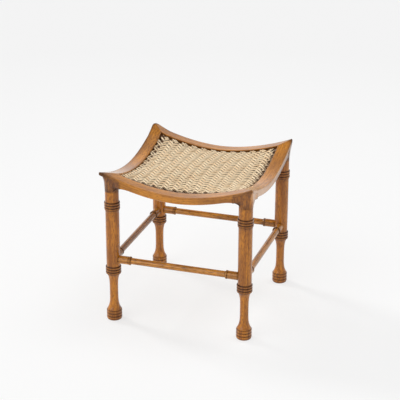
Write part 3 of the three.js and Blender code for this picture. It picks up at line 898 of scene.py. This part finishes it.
def waxed_wood(name, pale, mid, dark, streak_mm=5.0):
    """Streaks run along the piece's own grain axis, so noise is stretched twenty-five times that way."""
    made, tree, shader = new_material(name)
    dirt_and_shade = mark(tree, "dirt_and_shade")
    stain_shade_and_sheen = mark(tree, "stain_shade_and_sheen")

    # Each piece is cut from another place in the wood, so its number moves the pattern.
    random = node(tree, "ShaderNodeObjectInfo").outputs["Random"]
    apart = node(tree, "ShaderNodeCombineXYZ", {0: random, 1: random, 2: random}).outputs[0]
    moved = node(tree, "ShaderNodeVectorMath", {0: apart, 1: (400, 700, 900)}, operation="MULTIPLY")
    grain = {0: mark(tree, "grain", "Vector"), 1: moved.outputs[0]}
    placed = node(tree, "ShaderNodeVectorMath", grain, operation="ADD").outputs[0]

    # Soft streaks, cloudy patches and short flecks. Real flecks are about 1 mm wide, too fine to
    # show at this size, so they are drawn three times as wide.
    streak = noise(tree, placed, (streak_mm, streak_mm, 25 * streak_mm), detail=5.0, roughness=0.6)
    cloud = noise(tree, placed, (28, 28, 70), detail=3.0, roughness=0.55)
    fleck = noise(tree, placed, (3.0, 3.0, 11), detail=2.0, roughness=0.6)
    colour = blend(tree, ramp(tree, streak, 0.39, 0.6), linear(mid), pale)
    colour = blend(tree, sum_up(tree, "MULTIPLY", ramp(tree, cloud, 0.42, 0.66), 0.5), colour, dark)
    colour = blend(tree, ramp(tree, fleck, 0.5, 0.7, high=0.72), colour, dark)

    # Old stain and painted shade, blotchy like the flecks, then a painted sheen where that value is below 0,
    # then dirt and painted shade.
    stained_and_shaded = sum_up(tree, "MULTIPLY", stain_shade_and_sheen, ramp(tree, fleck, 0.3, 0.6, 0.45, 0.9))
    colour = blend(tree, stained_and_shaded, colour, STAIN_AND_SHADE_COLOUR)
    colour = blend(tree, ramp(tree, stain_shade_and_sheen, 0, -1), colour, SHEEN_COLOUR)
    colour = blend(tree, sum_up(tree, "MULTIPLY", dirt_and_shade, 0.93), colour, DIRT_AND_SHADE_COLOUR)
    tree.links.new(colour, shader.inputs["Base Color"])

    # The wax is a soft shine over duller wood, and there is little of it left in the grooves.
    tree.links.new(ramp(tree, cloud, 0, 1, 0.3, 0.5), shader.inputs["Roughness"])
    tree.links.new(ramp(tree, dirt_and_shade, 0, 1, 1.0, 0.15), shader.inputs["Coat Weight"])
    shader.inputs["Specular IOR Level"].default_value = 0.1
    shader.inputs["Coat Roughness"].default_value = 0.19
    shader.inputs["Coat IOR"].default_value = 1.44
    bump = node(tree, "ShaderNodeBump", {"Strength": 0.2, "Distance": 0.0004, "Height": fleck})
    tree.links.new(bump.outputs[0], shader.inputs["Normal"])
    return made


# %% Dress the wood
# Stained beech turned on a lathe: to the eye warm brown, streaked from foot to top, with a soft
# shine down one side of each shaft.
leg_wood = waxed_wood("waxed_turned_beech", "D4861E", "AC6614", "763E0A")
# The same wood in slim rods: a paler, redder brown with narrower streaks along each rod.
stretcher_wood = waxed_wood("waxed_slim_beech", "E69C3A", "A8681C", "60360C", streak_mm=3.5)
# Beech that hands have rubbed: smoother to the eye, lighter, and shining pale where it tilts away.
rail_wood = waxed_wood("waxed_handled_beech", "D68C2A", "B4711A", "885012")
for made, finish in ((legs, leg_wood), (stretchers, stretcher_wood), (rails, rail_wood)):
    for one in made.values():
        one.data.materials.append(finish)
print("wood finishes:", [m.name for m in (leg_wood, stretcher_wood, rail_wood)])

# %% Natural cord
# Twisted plant fibre without any finish: to the eye matt straw, each cord a little lighter or
# darker than the next, with painted shade in dusky brown where it dives under another or into the rail.
cord_fibre, tree, shader = new_material("matt_natural_cord")
mottle = noise(tree, mark(tree, "cord_place", "Vector"), (1, 1, 14), detail=3.0)
mixed = sum_up(tree, "ADD", mark(tree, "tint"), mottle)
straw = blend(tree, ramp(tree, mixed, 0.35, 1.25), linear("F8D6A8"), "FFEBC8")
# Painted shade: where the value is high the straw turns dusky brown.
dusk = sum_up(tree, "POWER", mark(tree, "painted_shade"), 1.5)
straw = blend(tree, sum_up(tree, "MULTIPLY", dusk, 0.97), straw, "5E3A16")
tree.links.new(straw, shader.inputs["Base Color"])
shader.inputs["Roughness"].default_value = 0.75
for one in cords.values():
    one.data.materials.append(cord_fibre)
print("cord finish:", cord_fibre.name, "on", len(cords), "pieces")

# %% [markdown]
# ## Floor and light
#
# A plain pale sweep. To the camera the floor glows a little, as an evenly lit paper sweep does, and
# keeps a soft part of the shadows. Two wide windows behind on the left and right and a broad fill
# in front light the stool, and the surround is pale near the floor and dimmer overhead, so
# that waxed tops shine where they tilt away.

# %% Lay the floor
FLOOR_HALF = 40.0
GLOW = 0.68
floor_mesh = bpy.data.meshes.new("floor")
floor_corners = [(x * FLOOR_HALF, y * FLOOR_HALF, 0) for x, y in ((-1, -1), (1, -1), (1, 1), (-1, 1))]
floor_mesh.from_pydata(floor_corners, [], [(0, 1, 2, 3)])
floor = bpy.data.objects.new("floor", floor_mesh)
bpy.context.collection.objects.link(floor)


def seen_rays(tree):
    """1 for rays that the camera sees, straight, in a gloss or through glass."""
    path = node(tree, "ShaderNodeLightPath").outputs
    seen = sum_up(tree, "MAXIMUM", path["Is Camera Ray"], path["Is Glossy Ray"])
    return sum_up(tree, "MAXIMUM", seen, path["Is Transmission Ray"])


# Matt white paper: to the eye one even pale ground without a horizon, a shade darker far out.
paper = bpy.data.materials.new("matt_paper_sweep")
paper.use_nodes = True
paper.node_tree.nodes.clear()
tree = paper.node_tree
lit = node(tree, "ShaderNodeBsdfDiffuse", {"Color": linear("F4F4F4")})
place = node(tree, "ShaderNodeTexCoord").outputs["Object"]
far_out = node(tree, "ShaderNodeVectorMath", {0: place}, operation="LENGTH").outputs["Value"]
fade = ramp(tree, far_out, 0.7, 2.5, 1, 0.91)
glow = node(tree, "ShaderNodeEmission", {"Color": linear("FEFEFE"), "Strength": fade})
share = sum_up(tree, "MULTIPLY", seen_rays(tree), GLOW)
both = node(tree, "ShaderNodeMixShader", {0: share, 1: lit.outputs[0], 2: glow.outputs[0]})
node(tree, "ShaderNodeOutputMaterial", {"Surface": both.outputs[0]})
floor_mesh.materials.append(paper)
print("floor:", 2 * FLOOR_HALF, "m wide, glow", GLOW)

# %% Light the stool
world = bpy.data.worlds.new("surround")
bpy.context.scene.world = world
world.use_nodes = True
tree = world.node_tree
tree.nodes.clear()
way = node(tree, "ShaderNodeTexCoord").outputs["Generated"]
height = node(tree, "ShaderNodeSeparateXYZ", {0: way}).outputs[2]
dimmer = ramp(tree, height, 0.35, 0.9, 1.0, 0.35)
seen = node(tree, "ShaderNodeBackground", {"Color": linear("F6F6F6"), "Strength": dimmer})
cast = node(tree, "ShaderNodeBackground", {"Color": linear("FFFFFF"), "Strength": 0.46})
mixed = node(tree, "ShaderNodeMixShader", {0: seen_rays(tree), 1: cast.outputs[0], 2: seen.outputs[0]})
node(tree, "ShaderNodeOutputWorld", {"Surface": mixed.outputs[0]})


def window(name, towards, strength, spread):
    """Even light from one side, as from a wide window. Spread is its width as an angle."""
    data = bpy.data.lights.new(name, "SUN")
    data.energy = strength
    data.angle = np.radians(spread)
    made = bpy.data.objects.new(name, data)
    bpy.context.collection.objects.link(made)
    away = np.array(towards, float) / np.linalg.norm(towards)
    side = np.cross([0, 0, 1], away)
    side /= np.linalg.norm(side)
    place = np.eye(4)
    place[:3, :3] = np.stack([side, np.cross(away, side), away], axis=1)
    place[:3, 3] = 3 * away
    made.matrix_world = Matrix(place.tolist())
    print(name, "strength", strength, "spread", spread)


window("window_left", (-0.94, 0.34, 0.75), 1.12, 14)
window("window_right", (0.45, 0.35, 1.2), 0.56, 30)
window("front_fill", (-0.6, -1.0, 0.85), 0.88, 50)
bpy.context.scene.view_settings.view_transform = "Standard"
